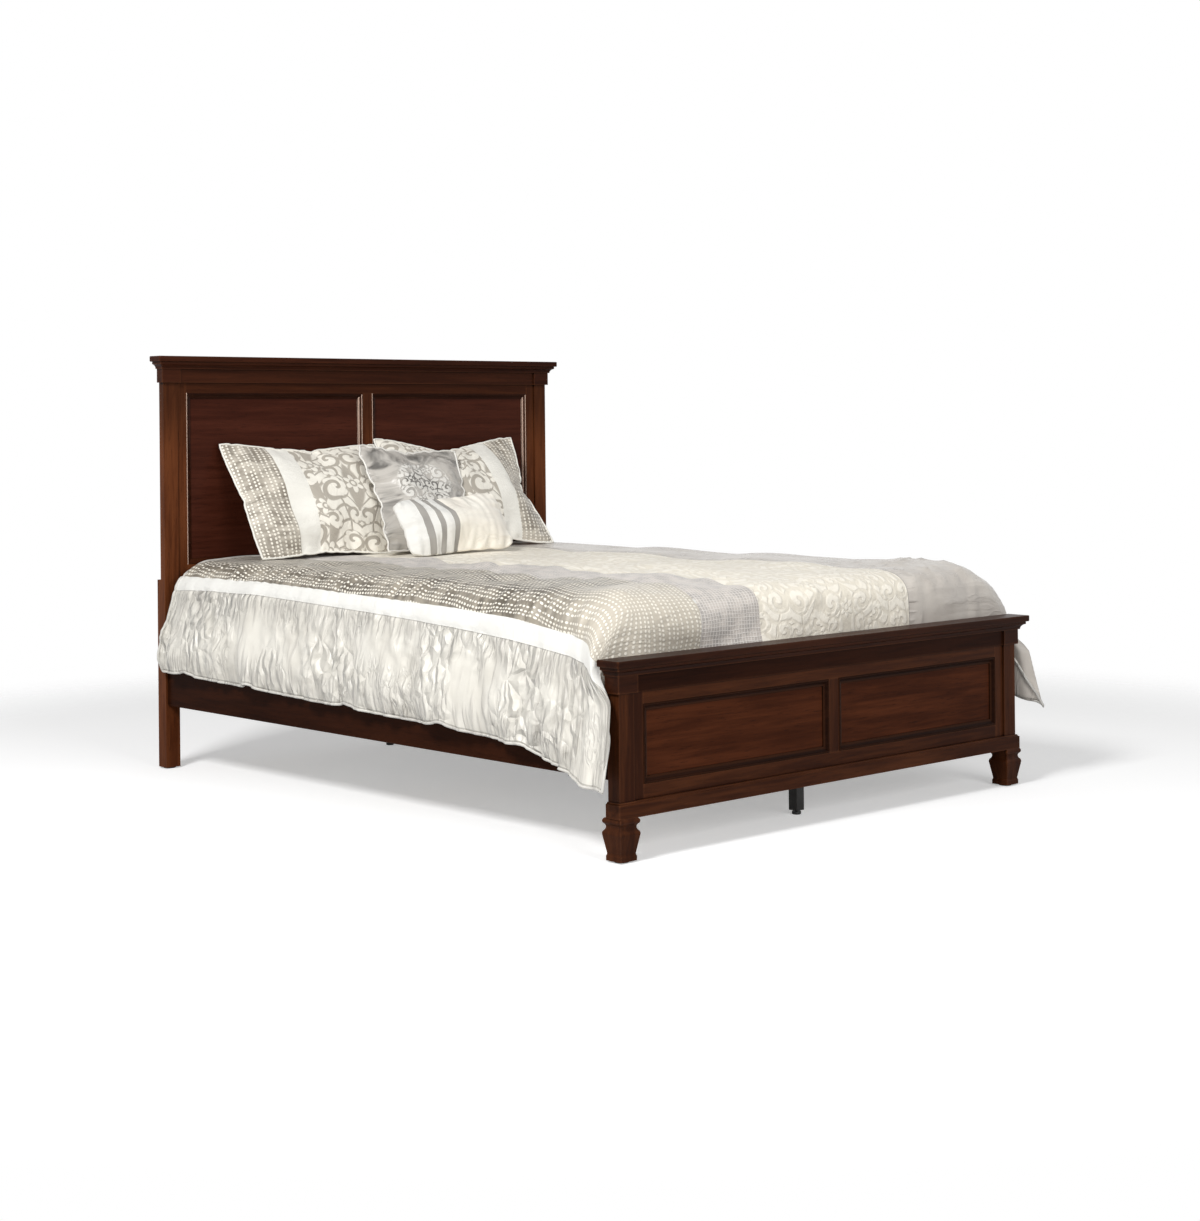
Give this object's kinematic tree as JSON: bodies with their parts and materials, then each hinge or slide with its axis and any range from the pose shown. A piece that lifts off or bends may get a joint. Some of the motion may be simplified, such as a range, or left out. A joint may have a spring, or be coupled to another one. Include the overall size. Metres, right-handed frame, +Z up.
{
  "type": "panel bed with bedding",
  "caption": "Wooden panel bed with moulded headboard and footboard, hooked side rails, slats on centre legs, mattress, striped comforter and leaning cushions.",
  "frame": {"origin": "on the floor under the middle of the bed's bounding box", "axes": "+Z up, +Y from the footboard to the headboard, +X to the right seen from the footboard"},
  "size_m": [1.824, 2.188, 1.326],
  "materials": {
    "cherry": "satin dark cherry stain",
    "plain_wood": "plain sawn",
    "black_wood": "black paint",
    "black_plastic": "matte",
    "black_steel": "black coated",
    "zinc_steel": "zinc plated",
    "ticking": "woven",
    "comforter": "satin and jacquard bands",
    "pillow_covers": "satin and jacquard"
  },
  "bodies": {
    "bed": {"centre_leg_1": "black_wood", "centre_leg_2": "black_wood", "centre_leg_3": "black_wood", "comforter": "comforter", "floor_glides": "black_plastic", "foot_left": "cherry", "foot_right": "cherry", "footboard_bottom_rail": "cherry", "footboard_cap": "cherry", "footboard_capitals": "cherry", "footboard_crown_moulding": "cherry", "footboard_frieze": "cherry", "footboard_mullion": "cherry", "footboard_panel_left": "cherry", "footboard_panel_mouldings": "cherry", "footboard_panel_right": "cherry", "footboard_plinth": "cherry", "footboard_post_left": "cherry", "footboard_post_right": "cherry", "footboard_stiles": "cherry", "footboard_top_rail": "cherry", "foundation": "ticking", "headboard_bottom_rail": "cherry", "headboard_cap": "cherry", "headboard_capitals": "cherry", "headboard_crown_moulding": "cherry", "headboard_frieze": "cherry", "headboard_leg_left": "cherry", "headboard_leg_right": "cherry", "headboard_mullion": "cherry", "headboard_panel_left": "cherry", "headboard_panel_mouldings": "cherry", "headboard_panel_right": "cherry", "headboard_post_left": "cherry", "headboard_post_right": "cherry", "headboard_stiles": "cherry", "headboard_top_rail": "cherry", "leg_bolts": "zinc_steel", "leveller_sleeves": "zinc_steel", "mattress": "ticking", "oblong_cushion": "pillow_covers", "post_slot_plates": "black_steel", "rail_cleat_left": "plain_wood", "rail_cleat_right": "plain_wood", "rail_hook_plates": "black_steel", "rail_screws": "zinc_steel", "sham_left": "pillow_covers", "sham_right": "pillow_covers", "side_rail_left": "cherry", "side_rail_right": "cherry", "slat_1": "plain_wood", "slat_2": "plain_wood", "slat_3": "plain_wood", "slat_screws": "zinc_steel", "square_cushion": "pillow_covers"},
    "leveller_1": {"leveller_1": "black_plastic"},
    "leveller_2": {"leveller_2": "black_plastic"},
    "leveller_3": {"leveller_3": "black_plastic"}
  },
  "joints": [
    {"name": "leveller_1_screw", "type": "slide", "parent": "bed", "child": "leveller_1", "axis": [0, 0, -1], "range_m": [-0.003, 0.012]},
    {"name": "leveller_2_screw", "type": "slide", "parent": "bed", "child": "leveller_2", "axis": [0, 0, -1], "range_m": [-0.003, 0.012]},
    {"name": "leveller_3_screw", "type": "slide", "parent": "bed", "child": "leveller_3", "axis": [0, 0, -1], "range_m": [-0.003, 0.012]}
  ]
}
